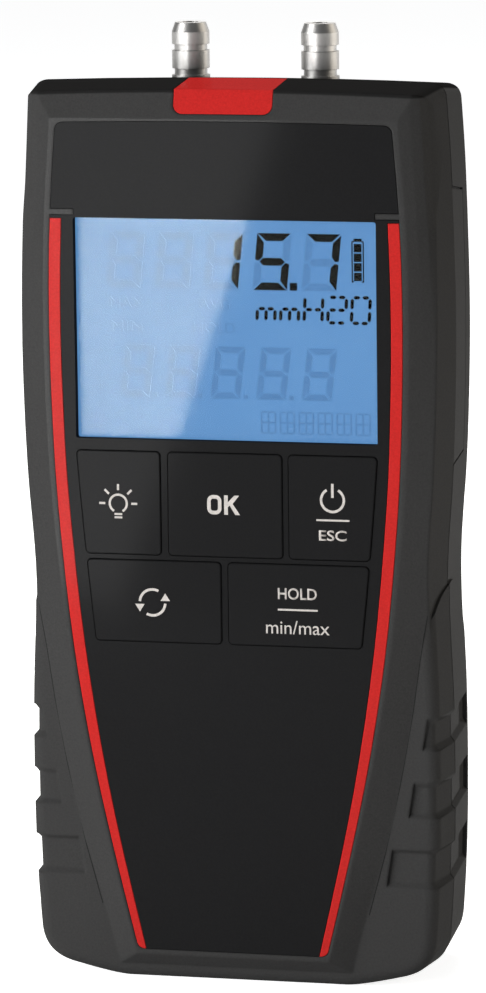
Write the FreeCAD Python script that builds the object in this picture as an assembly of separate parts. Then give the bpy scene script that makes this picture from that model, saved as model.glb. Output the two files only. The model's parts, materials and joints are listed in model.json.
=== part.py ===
# Hand-held differential pressure gauge: two-shell housing, keypad, display,
# pressure ports, sensor, boards and battery compartment.
# Millimetres. X to the right seen from the front, Z up, the face looks to -Y.
# "Depth" below is measured backwards from the plane of the front panel.
import FreeCAD, Part
import math
import os
from FreeCAD import Vector

os.makedirs("parts", exist_ok=True)

# Overall sizes
KEY_PROUD = 0.25            # how far the keys stand out of the panel
DEPTH = 34.7                # panel plane to back face
MIDDLE = (DEPTH - KEY_PROUD) / 2.0
SPLIT = 11.0                # depth of the parting line
JOG = 23.5                  # depth of the parting line beside the display
SEAM = 0.3                  # width of the parting line
WALL = 2.0
PAD = 0.3                   # the grip pads stand this far out of the body
PAD_LEAN = 0.25             # and this much more at the front
FOOT = -0.27                # lowest line of the pads; save() stands it on z = 0
GRIP_FACE = 2.2             # depth of the front face beside the lower panel
FRONT_DRAFT = 0.13          # side slope in front of the parting line
REAR_DRAFT = 0.09           # side slope behind it
CREST = 148.05              # top edge at the parting line
BROW = 147.05               # top edge at the front
BROW_DEPTH = 1.5
NAPE = 145.95               # top edge at the back
BOW = 0.5                   # rise of the top edge in the middle
BACK_ROUND = 6.0
GRIP_ROUND = 2.0
CORNER = 2.4                # rounding of the upper corners
BROW_ROUND = 5.5            # rounding of the bevel's outer edge at the top
BROW_FROM, BROW_RISE = 97.0, 36.0   # height where it begins, and until it is full
PAD_END = 28.0              # depth of the back edge of the grip pads
TUB_TOP = 75.0              # above this the bevel meets the sides directly

# half widths of the body at heights (height, half width at the parting line)
SIDE = [(7, 33.95), (14, 34.45), (24, 34.8), (34, 34.9), (44.5, 34.8), (51.5, 34.6),
        (58, 34.3), (63, 34.1), (67.5, 34.05), (75, 34.6), (81.5, 35.05),
        (88, 35.4), (95, 35.65), (105, 35.85), (115, 35.8), (125, 35.55),
        (135, 35.2), (146, 34.5)]
# half widths of the front panel
PANEL = [(5, 16.0), (20, 19.6), (34.5, 22.75), (48, 25.15), (58, 26.55),
         (63, 27.1), (70, 27.8), (79.6, 28.55), (86.5, 29.0), (103, 29.5),
         (114, 29.5), (126, 29.15), (132, 28.7), (141, 28.0)]
# half widths where the bevel round the panel would meet the grip face depth
BEVEL = [(3, 20.0), (11, 22.0), (22, 25.3), (35, 28.2), (46, 30.2), (55, 31.5),
         (63, 32.9), (71, 34.4), (77.5, 35.2), (84, 35.6), (91, 35.6), (97, 35.5),
         (107, 35.2), (123, 35.3), (136, 34.7), (147, 34.4)]

# Sizes of the front panel, the stripes and the display window
PANEL_T = 1.5
PANEL_TOP, PANEL_FOOT = 141.9, 5.1
# widths of the red stripes at heights
STRIPE = [(5, 1.45), (24, 1.65), (40, 1.9), (56, 2.05), (90, 2.05)]
STRIPE_TOP = 126.0
LCD_HALF, LCD_LOW, LCD_HIGH = 25.2, 90.0, 126.1
FACE_T = 3.0                # back of the wall that carries the panel
CLEAR = 0.12                # gap round each key

# Sizes and places of the inside
BOARD_FRONT, BOARD_T = 9.4, 1.6
BOARD_BACK = BOARD_FRONT + BOARD_T
PORT_X, PORT_D = 10.93, 22.3
CELL_D, CELL_R, CELL_PITCH = 26.6, 5.25, 10.8
CASE_SCREWS = [(26.9, 12.0), (-26.9, 12.0), (25.0, 137.0), (-25.0, 137.0)]
BOARD_SCREWS = [(21.5, 50.6), (-21.5, 50.6), (15.0, 135.4), (-15.0, 135.4)]
GROOVES = [(39.6, 40.5, 44.1, 45.0), (28.4, 29.1, 33.5, 34.4),
           (16.7, 17.6, 22.5, 23.2)]
GROOVE_DEEP = 0.65


# Helpers
def at(x, depth, z):
    return Vector(x, depth - MIDDLE, z)


def along(stations, z):
    """Smooth value at height z between (height, value) stations."""
    last = len(stations) - 1
    i = max(0, min(last - 1, sum(1 for s in stations if s[0] <= z) - 1))

    def slope(k):
        a, b = stations[max(k - 1, 0)], stations[min(k + 1, last)]
        return (b[1] - a[1]) / float(b[0] - a[0])

    z0, v0 = stations[i]
    z1, v1 = stations[i + 1]
    if z < z0:
        return v0 + slope(0) * (z - z0)
    if z > z1:
        return v1 + slope(last) * (z - z1)
    h = float(z1 - z0)
    t = (z - z0) / h
    return (v0 * (2 * t**3 - 3 * t**2 + 1) + slope(i) * h * (t**3 - 2 * t**2 + t)
            + v1 * (3 * t**2 - 2 * t**3) + slope(i + 1) * h * (t**3 - t**2))


def line(a, b):
    return Part.makeLine(a, b)


def spline(points):
    curve = Part.BSplineCurve()
    curve.interpolate(points)
    return curve.toShape()


def bend(a, corner, b):
    curve = Part.BezierCurve()
    curve.setPoles([a, corner, b])
    return curve.toShape()


def box(x0, x1, d0, d1, z0, z1):
    return Part.makeBox(x1 - x0, d1 - d0, z1 - z0, at(x0, d0, z0))


def rod_z(r, x, depth, z0, z1):
    return Part.makeCylinder(r, z1 - z0, at(x, depth, z0), Vector(0, 0, 1))


def rod_y(r, x, z, d0, d1):
    return Part.makeCylinder(r, d1 - d0, at(x, d0, z), Vector(0, 1, 0))


def plate(points, d0, d1):
    """Flat plate between two depths from (x, z) corners."""
    ring = [at(x, d0, z) for x, z in points]
    face = Part.Face(Part.makePolygon(ring + ring[:1]))
    return face.extrude(Vector(0, d1 - d0, 0))


def side_prism(points, x0, x1):
    """Prism across the body from (depth, z) corners."""
    ring = [at(x0, d, z) for d, z in points]
    face = Part.Face(Part.makePolygon(ring + ring[:1]))
    return face.extrude(Vector(x1 - x0, 0, 0))


def rounded(shape, radius, chosen):
    edges = [e for e in shape.Edges if chosen(e)]
    return shape.makeFillet(radius, edges)


def upright(edge):
    """True for edges that run from front to back."""
    a, b = edge.firstVertex().Point, edge.lastVertex().Point
    return abs(a.x - b.x) < 1e-4 and abs(a.z - b.z) < 1e-4


def block(x0, x1, d0, d1, z0, z1, r):
    """Box with its front-to-back edges rounded."""
    return rounded(box(x0, x1, d0, d1, z0, z1), r, upright)


def loft(wires):
    solid = Part.makeLoft(wires, True, True)
    if solid.Volume < 0:
        solid.reverse()
    return solid


def mirrored(shape):
    return shape.mirror(Vector(0, 0, 0), Vector(1, 0, 0))


def joined(shapes):
    shape = shapes[0]
    for other in shapes[1:]:
        shape = shape.fuse(other)
    return shape.removeSplitter()


def save(name, shape):
    if isinstance(shape, list):
        shape = Part.makeCompound(shape)
    if not shape.isValid():
        print("not valid:", name)
    shape = shape.copy()
    shape.translate(Vector(0, 0, -FOOT))
    shape.exportStep("parts/" + name + ".step")
    b = shape.BoundBox
    print("%-16s %d solids  %8.1f mm3  %.1f..%.1f  %.1f..%.1f  %.1f..%.1f" % (
        name, len(shape.Solids), shape.Volume, b.XMin, b.XMax, b.YMin, b.YMax,
        b.ZMin, b.ZMax))


# Housing
HEEL_SLOPE = 0.25           # rise of the lower edge towards its corners
BROW_STEPS = (0.0, 1.1, 1.8, 2.6, 3.6, SPLIT + 0.2)     # depths of its outlines


def top_at(depth):
    if depth <= SPLIT:
        return BROW + (CREST - BROW) * (depth - BROW_DEPTH) / (SPLIT - BROW_DEPTH)
    return CREST + (NAPE - CREST) * (depth - SPLIT) / (DEPTH - SPLIT)


def draft_at(depth):
    if depth <= SPLIT:
        return (SPLIT - depth) * FRONT_DRAFT
    return (depth - SPLIT) * REAR_DRAFT


def case_outline(depth, inset, lean=0.0):
    """Closed outline of the body at one depth, its sides moved out by lean."""
    o = draft_at(depth) + inset - lean
    top, foot = top_at(depth) - inset, FOOT + PAD + inset
    corner = CORNER

    def wide(z):
        return along(SIDE, z) - o

    low, high = foot + 8.0, top - corner - BOW
    rows = [low + (high - low) * i / 13.0 for i in range(14)]
    right = [at(wide(z), depth, z) for z in rows]
    lean_low = (wide(low + 0.5) - wide(low)) / 0.5
    lean_high = (wide(high) - wide(high - 0.5)) / 0.5
    knee_x = wide(low) - 4.9 * lean_low
    knee = at(knee_x, depth, foot + 3.1)
    heel_x = knee_x - 5.0
    heel = at(heel_x, depth, foot + 3.1 - 5.0 * HEEL_SLOPE)
    flat_x = heel_x - (heel.z - foot) / HEEL_SLOPE
    sole = at(flat_x - 2.5, depth, foot)
    brow_x = wide(high) + lean_high * corner
    ear_z = top - BOW * ((brow_x - corner) / 30.0) ** 2
    fall = -2.0 * BOW * (brow_x - corner) / 900.0
    ear = at(brow_x - corner, depth, ear_z)
    peak = at(brow_x, depth, ear_z + fall * corner)
    side = Part.BSplineCurve()
    side.interpolate(Points=right, InitialTangent=right[0] - knee,
                     FinalTangent=peak - right[-1])

    def flip(v):
        return Vector(-v.x, v.y, v.z)

    left = Part.BSplineCurve()
    left.interpolate(Points=[flip(v) for v in reversed(right)],
                     InitialTangent=flip(right[-1] - peak),
                     FinalTangent=flip(knee - right[0]))
    crown = Part.BezierCurve()
    crown.setPoles([ear, at(0, depth, 2.0 * top - ear_z), flip(ear)])
    return Part.Wire([
        line(flip(sole), sole),
        bend(sole, at(flat_x, depth, foot), heel),
        bend(heel, knee, right[0]),
        side.toShape(),
        bend(right[-1], peak, ear),
        crown.toShape(),
        bend(flip(ear), flip(peak), flip(right[-1])),
        left.toShape(),
        bend(flip(right[0]), flip(knee), flip(heel)),
        bend(flip(heel), at(-flat_x, depth, foot), flip(sole)),
    ])


def bevel_line(z):
    """Half width of the bevel at the panel plane, and its growth with depth."""
    inner = along(PANEL, z) + 0.45 + 0.5 * min(1.0, max(0.0, (z - 5) / 80.0))
    return inner, (along(BEVEL, z) - inner) / GRIP_FACE


def ring_of(place, foot):
    """Closed outline through place(z), mirrored, from the foot to above the top."""
    rows = [foot + (152.0 - foot) * i / 14.0 for i in range(15)]
    right = [at(place(z)[0], place(z)[1], z) for z in rows]
    left = [Vector(-v.x, v.y, v.z) for v in reversed(right)]
    return Part.Wire([line(left[-1], right[0]), spline(right),
                      line(right[-1], left[0]), spline(left)])


def bevel_outline(depth, inset):
    """Outline of the bevel round the panel at one depth."""
    def place(z):
        inner, growth = bevel_line(z)
        return inner + growth * depth - 2.0 * inset, depth

    return ring_of(place, 4.3 - depth + 1.41 * inset)


def brow_outline(k):
    """Outline k of the outer bevel: flat low down, but from BROW_FROM upwards it
    bends over into the sides."""
    flat = BROW_STEPS[k]

    def place(z):
        inner, growth = bevel_line(z)
        straight = (inner + growth * flat, flat)
        t = min(1.0, max(0.0, (z - BROW_FROM) / BROW_RISE))
        if k == 0 or t == 0.0:
            return straight
        root = along(SIDE, z) - FRONT_DRAFT * SPLIT
        meet = (root - inner) / (growth - FRONT_DRAFT)
        corner = (inner + growth * meet, meet)
        reach = 0.53 * BROW_ROUND
        long_f, long_s = math.hypot(growth, 1), math.hypot(FRONT_DRAFT, 1)
        a = (corner[0] - reach * growth / long_f, corner[1] - reach / long_f)
        b = (corner[0] + reach * FRONT_DRAFT / long_s - 0.05, corner[1] + reach / long_s)
        if k == len(BROW_STEPS) - 1:
            bent = (b[0] + (flat - b[1]) * (FRONT_DRAFT + 0.09), flat)
        else:
            s = (k - 1) / 3.0
            bent = tuple((1 - s) ** 2 * a[i] + 2 * s * (1 - s) * corner[i] + s * s * b[i]
                         for i in (0, 1))
        t = t * t * (3 - 2 * t)
        return tuple(straight[i] * (1 - t) + bent[i] * t for i in (0, 1))

    return ring_of(place, 4.3 - flat)


def front_body(inset, face):
    """Front half of the body, pulled in by inset, its panel wall at face."""
    full = loft([case_outline(-0.5, inset), case_outline(SPLIT, inset)])
    grip_d = GRIP_FACE + PAD + inset
    tub = full.cut(box(-60, 60, -10, grip_d, -10, 160))
    rim = at(0, grip_d, 0).y
    tub = rounded(tub, max(GRIP_ROUND - inset, 0.8),
                  lambda e: e.BoundBox.YMax - rim < 1e-3)
    tub = tub.cut(box(-60, 60, -10, 60, TUB_TOP, 160))
    if inset > 0:
        flare = loft([bevel_outline(face, inset), bevel_outline(SPLIT + 0.2, inset)])
    else:
        flare = loft([brow_outline(k) for k in range(len(BROW_STEPS))])
    slope = (BROW - PANEL_TOP) / BROW_DEPTH
    low = PANEL_TOP + 0.1 + slope * face - 1.05 * inset * slope
    high = low + slope * 12.0
    visor = side_prism([(face - 1, low - slope), (face + 12, high + slope),
                        (-20, high + slope), (-20, low - slope)], -60, 60)
    island = full.common(flare).cut(visor)
    return tub.fuse(island)


def rear_body(inset):
    """Back half of the body, its back edge rounded."""
    last, r = DEPTH - max(inset, 0.0), BACK_ROUND - max(inset, 0.0)
    straight = loft([case_outline(SPLIT, inset), case_outline(last - r, inset)])
    turns = [math.radians(a) for a in (0, 18, 36, 54, 72, 90)]
    dome = Part.makeLoft([case_outline(last - r + r * math.sin(t),
                                       inset + r * (1 - math.cos(t))) for t in turns],
                         True, False)
    if dome.Volume < 0:
        dome.reverse()
    return straight.fuse(dome)


def pad_region(x0, x1):
    """Region below the arched upper edge of the grip pads."""
    a, top, b = at(x0, -1, 54.0), at(x0, 13.6, 65.9), at(x0, PAD_END, 55.0)
    c, d = at(x0, PAD_END, -5), at(x0, -1, -5)
    ring = Part.Wire([Part.Arc(a, top, b).toShape(), line(b, c), line(c, d),
                      line(d, a)])
    return Part.Face(ring).extrude(Vector(x1 - x0, 0, 0))


def split_region(depth, jog, low, high, tip):
    """Everything in front of the stepped parting line."""
    return side_prism([(-6, -5), (depth, -5), (depth, low), (jog, low + 0.5),
                       (jog, high), (depth, high + 1.6), (depth, tip), (-6, tip)],
                      -60, 60)


def groove(z0, z1, z2, z3):
    """Grip groove round one side, with sloping lips."""
    def section(z, inset):
        w = along(SIDE, z) + PAD - inset
        f = GRIP_FACE + inset
        r = GRIP_ROUND - inset
        near = (w - (SPLIT - GRIP_FACE) * FRONT_DRAFT
                + PAD_LEAN * (SPLIT - GRIP_FACE) / (SPLIT + 0.5))
        back = DEPTH - BACK_ROUND
        k = 0.7071 * r
        return Part.Wire([
            line(at(0, f, z), at(near - r, f, z)),
            Part.Arc(at(near - r, f, z), at(near - r + k, f + r - k, z),
                     at(near + 0.02, f + r, z)).toShape(),
            line(at(near + 0.02, f + r, z), at(w, SPLIT, z)),
            line(at(w, SPLIT, z), at(w - (back - SPLIT) * REAR_DRAFT, back, z)),
            line(at(w - (back - SPLIT) * REAR_DRAFT, back, z),
                 at(w - 8.0, DEPTH, z)),
            line(at(w - 8.0, DEPTH, z), at(0, DEPTH, z)),
            line(at(0, DEPTH, z), at(0, f, z))])

    core = joined([loft([section(z0, -0.03), section(z1, GROOVE_DEEP)]),
                   loft([section(z1, GROOVE_DEEP), section(z2, GROOVE_DEEP)]),
                   loft([section(z2, GROOVE_DEEP), section(z3, -0.03)])])
    inner = 32.0 - 0.0105 * (42.5 - z1) ** 2 * 0.5 - 0.13 * (42.5 - z1)
    lean = 0.16
    slab = plate([(inner, z0), (60, z0), (60, z3), (inner + lean * (z3 - z0), z3)],
                 2.0, PAD_END - 1.5)
    return slab.cut(core)


def panel_edge(z, gap=0.0):
    return along(PANEL, z) - gap


def panel_face(gap):
    """Outline of the panel recess, pulled in by gap."""
    foot, top = PANEL_FOOT + gap, PANEL_TOP - gap
    rows = [foot + 1.2 + (top - 2.8 - foot) * i / 14.0 for i in range(15)]
    right = [at(panel_edge(z, gap), 0, z) for z in rows]
    first, last = right[0], right[-1]
    toe = at(first.x - 0.25, 0, foot)
    toe_in = at(toe.x - 1.3, 0, foot)
    ear = at(last.x - 1.7, 0, top - 0.25)
    tip = at(last.x - 0.13, 0, top - 0.25)

    def flip(v):
        return Vector(-v.x, v.y, v.z)

    left = [flip(v) for v in reversed(right)]
    crown = Part.BezierCurve()
    crown.setPoles([ear, at(0, 0, top + 0.35), flip(ear)])
    return Part.Face(Part.Wire([
        line(flip(toe_in), toe_in), bend(toe_in, toe, first), spline(right),
        bend(last, tip, ear), crown.toShape(), bend(flip(ear), flip(tip), left[0]),
        spline(left), bend(left[-1], flip(toe), flip(toe_in))]))


def panel_block(gap, d0, d1):
    solid = panel_face(gap).extrude(Vector(0, d1 - d0, 0))
    solid.translate(Vector(0, d0, 0))
    return solid


def stripe_region(gap, d0, d1):
    """Right-hand strip between the stripe's inner edge and far outside."""
    rows = [3.0 + (STRIPE_TOP - gap - 3.0) * i / 12.0 for i in range(13)]
    inner = [at(along(PANEL, z) - along(STRIPE, z) + gap, d0, z) for z in rows]
    far_low, far_high = at(60, d0, rows[0]), at(60, d0, rows[-1])
    ring = Part.Wire([spline(inner), line(inner[-1], far_high),
                      line(far_high, far_low), line(far_low, inner[0])])
    return Part.Face(ring).extrude(Vector(0, d1 - d0, 0))


# key outlines seen from the front, clockwise from the lower left
def outer_key_x(z):
    """Outer edge of the key field."""
    return 25.15 - 0.072 * (88.0 - z) - 0.00062 * (88.0 - z) ** 2


ROW_1 = (71.05, 88.05)
ROW_2 = (56.65, 70.1)
KEYS = {
    "light": (None, -11.1, ROW_1, (-18.2, 79.6)),
    "ok": (-9.8, 9.3, ROW_1, (-0.3, 79.4)),
    "power": (10.4, None, ROW_1, (17.7, 79.4)),
    "cycle": (None, -1.1, ROW_2, (-12.65, 63.3)),
    "hold": (0.12, None, ROW_2, (11.7, 63.3)),
}


def key_block(spec, grow, d0, d1):
    """Prism of one key, grown sideways by grow."""
    left, right, (low, high), _ = spec
    low, high = low - grow, high + grow
    rows = [low + (high - low) * i / 6.0 for i in range(7)]

    def edge(value, sign):
        if value is not None:
            return [(value + sign * grow, low), (value + sign * grow, high)]
        return [(sign * (outer_key_x(z) + grow), z) for z in rows]

    a, b = edge(left, -1), edge(right, 1)
    solid = plate(a + list(reversed(b)), d0, d1)
    corners = [e for e in solid.Edges if upright(e)
               and min(abs(e.firstVertex().Z - low), abs(e.firstVertex().Z - high)) < 1e-4]
    return solid.makeFillet(0.7 + max(grow, 0.0), corners)


# Building the pieces
def housing():
    """Outer body with pads and grooves, and the room inside it."""
    front = front_body(0.0, 0.0)
    rear = rear_body(0.0)
    pad_front = front_pad()
    pad_rear = loft([case_outline(SPLIT, -PAD),
                     case_outline(PAD_END + 1, -PAD)]).common(pad_region(-60, 60))
    outer = joined([front, rear, pad_front, pad_rear])
    for side in GROOVES:
        cutter = groove(*side)
        outer = outer.cut(cutter).cut(mirrored(cutter))
    inner = joined([front_body(WALL, FACE_T), rear_body(WALL)])
    return outer, inner


def front_pad():
    """Front half of the grip pads: the tub again, PAD larger."""
    full = loft([case_outline(-0.5, -PAD, PAD_LEAN), case_outline(SPLIT, -PAD)])
    tub = full.cut(box(-60, 60, -10, GRIP_FACE, -10, 160))
    rim = at(0, GRIP_FACE, 0).y
    tub = rounded(tub, GRIP_ROUND, lambda e: e.BoundBox.YMax - rim < 1e-3)
    return tub.common(pad_region(-60, 60))


def screw_y(x, z, head_r, head, shank_r, tip):
    """Slotted screw driven from the back; head is (seat, top) in depth."""
    body = rod_y(head_r, x, z, head[0], head[1]).fuse(rod_y(shank_r, x, z, tip, head[0]))
    return body.cut(box(x - 1.3, x + 1.3, head[1] - 0.7, head[1] + 1, z - 0.3, z + 0.3))


def turned(points, x, depth):
    """Solid of revolution about an upright axis from (radius, z) corners."""
    ring = [Vector(r, 0, z) for r, z in points]
    face = Part.Face(Part.makePolygon(ring + ring[:1]))
    solid = face.revolve(Vector(0, 0, 0), Vector(0, 0, 1), 360)
    solid.translate(at(x, depth, 0))
    return solid


def hose(a, b, c, d, r, bore):
    """Round hose: straight a-b, two equal bends b-c, straight c-d, all upright."""
    across = Vector(c.x - b.x, c.y - b.y, 0)
    span, rise = across.Length, c.z - b.z
    bend_r = (rise ** 2 + span ** 2) / (4.0 * span)
    turn = math.degrees(math.acos(1.0 - span / (2.0 * bend_r)))
    side = across.normalize()
    axis = Vector(0, 0, 1).cross(side)
    up = Vector(0, 0, 1)

    def ring(centre):
        discs = [Part.Face(Part.Wire(Part.makeCircle(q, centre, up)))
                 for q in (r, bore)]
        return discs[0].cut(discs[1]).Faces[0]

    return joined([ring(a).extrude(b - a),
                   ring(b).revolve(b + side * bend_r, axis, turn),
                   ring(c).revolve(c - side * bend_r, axis, turn),
                   ring(c).extrude(d - c)])


def both(shape):
    return shape.fuse(mirrored(shape))


# Shells
outer, inner = housing()
wall = outer.cut(inner)
ahead = split_region(SPLIT - SEAM / 2, JOG - SEAM / 2, 85.7, 129.0, 160)
behind = split_region(SPLIT + SEAM / 2, JOG + SEAM / 2, 85.4, 129.3, 160)
skin = joined([front_body(0.4, 0.4), rear_body(0.4)])

INSERT_HALF, INSERT_LOW, INSERT_T = 8.2, 143.1, 0.8
insert_zone = block(-INSERT_HALF, INSERT_HALF, -2, SPLIT - SEAM / 2, INSERT_LOW, 155, 1.5)
insert_core = front_body(INSERT_T, INSERT_T)
top_insert = outer.common(insert_zone).cut(insert_core)

front = wall.common(ahead)
for x, z in BOARD_SCREWS:
    front = front.fuse(rod_y(2.5, x, z, 2.6, BOARD_FRONT))
for x, z in CASE_SCREWS:
    start = 2.6 if z > 60 else 4.2
    front = front.fuse(rod_y(3.2, x, z, start, SPLIT - SEAM / 2))
front = front.cut(panel_block(0.0, -3, PANEL_T))
tab = box(25.15, 29.6, 0.0, PANEL_T + 0.1, 126.55, 127.45)
front = front.fuse(both(tab))
front = front.cut(box(-26.0, 26.0, 1, 4, 88.9, 126.9))
for spec in KEYS.values():
    front = front.cut(key_block(spec, CLEAR, 1, 4))
for x, z in BOARD_SCREWS:
    front = front.cut(rod_y(1.0, x, z, 4.5, BOARD_FRONT + 1))
for x, z in CASE_SCREWS:
    front = front.cut(rod_y(1.2, x, z, 5.6 if z > 60 else 7.4, SPLIT + 1))
front = front.cut(outer.common(block(-INSERT_HALF - 0.06, INSERT_HALF + 0.06, -2,
                                     SPLIT, INSERT_LOW - 0.06, 155, 1.5)
                               ).cut(insert_core))
save("front_shell", front)
save("top_insert", top_insert)

DOOR_HALF, DOOR_LOW, DOOR_HIGH, DOOR_D = 23.4, 11.4, 70.5, 33.7
WELL_HALF, WELL_LOW, WELL_HIGH = 21.8, 13.2, 61.5
PORT_SEAT = 144.6
rear = wall.cut(behind)
for x, z in CASE_SCREWS:
    rear = rear.fuse(rod_y(3.2, x, z, SPLIT + SEAM / 2, 33.5).common(outer))
for sign in (-1, 1):
    rear = rear.fuse(rod_z(6.0, sign * PORT_X, PORT_D, PORT_SEAT, 150).common(outer))
    rear = rear.fuse(rod_z(2.4, sign * 20.0, PORT_D, 142.3, 150).common(outer))
rear = rear.fuse(rod_y(3.0, 0, 67.0, 27.0, 33.5))
rear = rear.cut(block(-DOOR_HALF, DOOR_HALF, DOOR_D, 40, DOOR_LOW, DOOR_HIGH, 1.5))
rear = rear.cut(box(-21.9, 21.9, 30, 40, 13.1, 61.6))
rear = rear.cut(rod_y(0.9, 0, 67.0, 28.0, 40))
for x, z in CASE_SCREWS:
    rear = rear.cut(rod_y(1.45, x, z, 0, 40)).cut(rod_y(2.7, x, z, 31.0, 40))
for sign in (-1, 1):
    rear = rear.cut(rod_z(3.2, sign * PORT_X, PORT_D, 140, 152))
    rear = rear.cut(rod_z(5.2, sign * PORT_X, PORT_D, 140, PORT_SEAT))
    rear = rear.cut(rod_z(0.8, sign * 20.0, PORT_D, 140, 144.9))
save("rear_shell", rear)
save("case_gasket", wall.common(behind).cut(ahead).common(skin))
save("case_screws", [screw_y(x, z, 2.5, (31.0, 33.0), 1.2, 8.0) for x, z in CASE_SCREWS])

# Front panel
panel = panel_block(0.08, 0.0, PANEL_T)
stripes = stripe_region(0.0, -1, 3)
panel = panel.cut(stripes).cut(mirrored(stripes))
panel = panel.cut(both(box(25.05, 31, -1, 3, 126.45, 127.55)))
panel = panel.cut(block(-LCD_HALF, LCD_HALF, -1, 3, LCD_LOW, LCD_HIGH, 0.4))
for spec in KEYS.values():
    panel = panel.cut(key_block(spec, CLEAR, -1, 3))
save("front_panel", panel)
stripe = panel_block(0.08, 0.0, PANEL_T).common(stripe_region(0.08, -1, 3))
save("stripe_right", stripe)
save("stripe_left", mirrored(stripe))

# Keys
for name, spec in KEYS.items():
    left, right, (low, high), (cx, cz) = spec
    cap = key_block(spec, 0.0, -KEY_PROUD, 3.9)
    front_y = at(0, -KEY_PROUD, 0).y
    cap = cap.makeChamfer(0.15, [e for e in cap.Edges
                                 if e.BoundBox.YMax - front_y < 1e-4])
    cap = cap.cut(key_block(spec, -1.4, 1.2, 5))
    cap = cap.fuse(rod_y(2.2, cx, cz, 1.0, 5.4))
    mid = (low + high) / 2.0
    x0 = left if left is not None else -outer_key_x(mid + 3)
    x1 = right if right is not None else outer_key_x(mid + 3)
    ears = joined([box(x0 - 0.4, x0 + 1.3, 3.15, 3.9, mid - 3, mid + 3),
                   box(x1 - 1.3, x1 + 0.4, 3.15, 3.9, mid - 3, mid + 3)])
    save("key_" + name, cap.fuse(ears).removeSplitter())
    save("stem_" + name, rod_y(1.6, cx, cz, 5.4, 7.4))
save("key_switches", [box(cx - 3, cx + 3, 6.2, BOARD_FRONT, cz - 3, cz + 3)
                      .cut(rod_y(1.75, cx, cz, 6.0, 8.2))
                      for _, _, _, (cx, cz) in KEYS.values()])

# Display
GLASS_D = 3.4
save("lcd_window", box(-25.9, 25.9, PANEL_T, 2.6, 89.0, 126.8))
frame = box(-28.0, 28.0, FACE_T, BOARD_FRONT, 88.6, 132.2)
frame = frame.cut(box(-27.2, 27.2, GLASS_D, 12, 89.2, 131.4))
frame = frame.cut(box(-25.4, 25.4, 2, 5, 89.5, 126.3))
save("lcd_frame", frame)
save("lcd_glass", box(-27.1, 27.1, GLASS_D, 4.3, 89.3, 127.6).fuse(
    box(-27.1, 27.1, 4.3, 5.2, 89.3, 131.3)))
save("lcd_backlight", box(-26.8, 26.8, 5.2, BOARD_FRONT, 89.6, 127.0))
save("lcd_connector", box(-24.5, 24.5, 5.2, BOARD_FRONT, 128.2, 130.6))

# Board
board = block(-28.5, 28.5, BOARD_FRONT, BOARD_BACK, 47.3, 133.0, 1.5)
board = board.fuse(box(-20.0, 20.0, BOARD_FRONT, BOARD_BACK, 130.0, 138.4))
for x, z in BOARD_SCREWS:
    board = board.cut(rod_y(1.3, x, z, 5, 15))
save("main_board", board.removeSplitter())
save("board_screws", [screw_y(x, z, 2.2, (BOARD_BACK, 12.4), 1.0, 5.2)
                      for x, z in BOARD_SCREWS])
save("board_parts", [box(-19, -9, BOARD_BACK, 12.4, 70, 80),
                     box(6, 13, BOARD_BACK, 12.2, 84, 89),
                     box(-22, -17, BOARD_BACK, 13.0, 92, 97),
                     box(15, 21, BOARD_BACK, 12.6, 96, 108),
                     rod_y(5.0, 17.5, 70.0, BOARD_BACK, 14.6),
                     rod_y(2.5, -20.0, 60.0, BOARD_BACK, 16.0)])

# Sensor
NIPPLE_X, NIPPLE_D, HOSE_R = 6.0, 15.0, 1.8
sensor = block(-12, 12, BOARD_BACK, 18.5, 96, 110, 1.0)
sensor = sensor.fuse(box(-13.5, 13.5, BOARD_BACK, 13.0, 94.5, 111.5))
for sign in (-1, 1):
    sensor = sensor.fuse(rod_z(HOSE_R, sign * NIPPLE_X, NIPPLE_D, 109, 117.5))
    sensor = sensor.cut(rod_z(0.8, sign * NIPPLE_X, NIPPLE_D, 104, 119))
save("pressure_sensor", sensor.removeSplitter())

PORT = [(1.3, 134.6), (1.8, 134.6), (1.8, 140.8), (3.0, 140.8), (3.0, 142.3),
        (5.0, 142.3), (5.0, 143.8), (3.15, 143.8), (3.15, 147.52), (2.7, 147.52),
        (2.7, 148.59), (3.1, 148.59), (3.1, 151.55), (2.7, 151.55), (2.7, 152.55),
        (3.1, 152.55), (3.1, 154.59), (2.55, 156.12), (1.3, 156.12)]
for name, sign in (("left", -1), ("right", 1)):
    x = sign * PORT_X
    save("port_" + name, turned(PORT, x, PORT_D))
    save("port_seal_" + name, rod_z(4.4, x, PORT_D, 143.8, PORT_SEAT).cut(
        rod_z(3.25, x, PORT_D, 143, 145)))
    save("tube_" + name, hose(at(sign * NIPPLE_X, NIPPLE_D, 111.6),
                              at(sign * NIPPLE_X, NIPPLE_D, 118.0),
                              at(x, PORT_D, 134.2), at(x, PORT_D, 140.2), 3.0, HOSE_R))
clamp = box(-23, 23, 17.3, 27.3, 140.8, 142.3)
for sign in (-1, 1):
    clamp = clamp.cut(rod_z(3.05, sign * PORT_X, PORT_D, 140, 143))
    clamp = clamp.cut(rod_z(0.95, sign * 20.0, PORT_D, 140, 143))
save("port_clamp", clamp)
save("clamp_screws", [rod_z(1.7, sign * 20.0, PORT_D, 139.6, 140.8).fuse(
    rod_z(0.8, sign * 20.0, PORT_D, 140.8, 144.7)) for sign in (-1, 1)])

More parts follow.
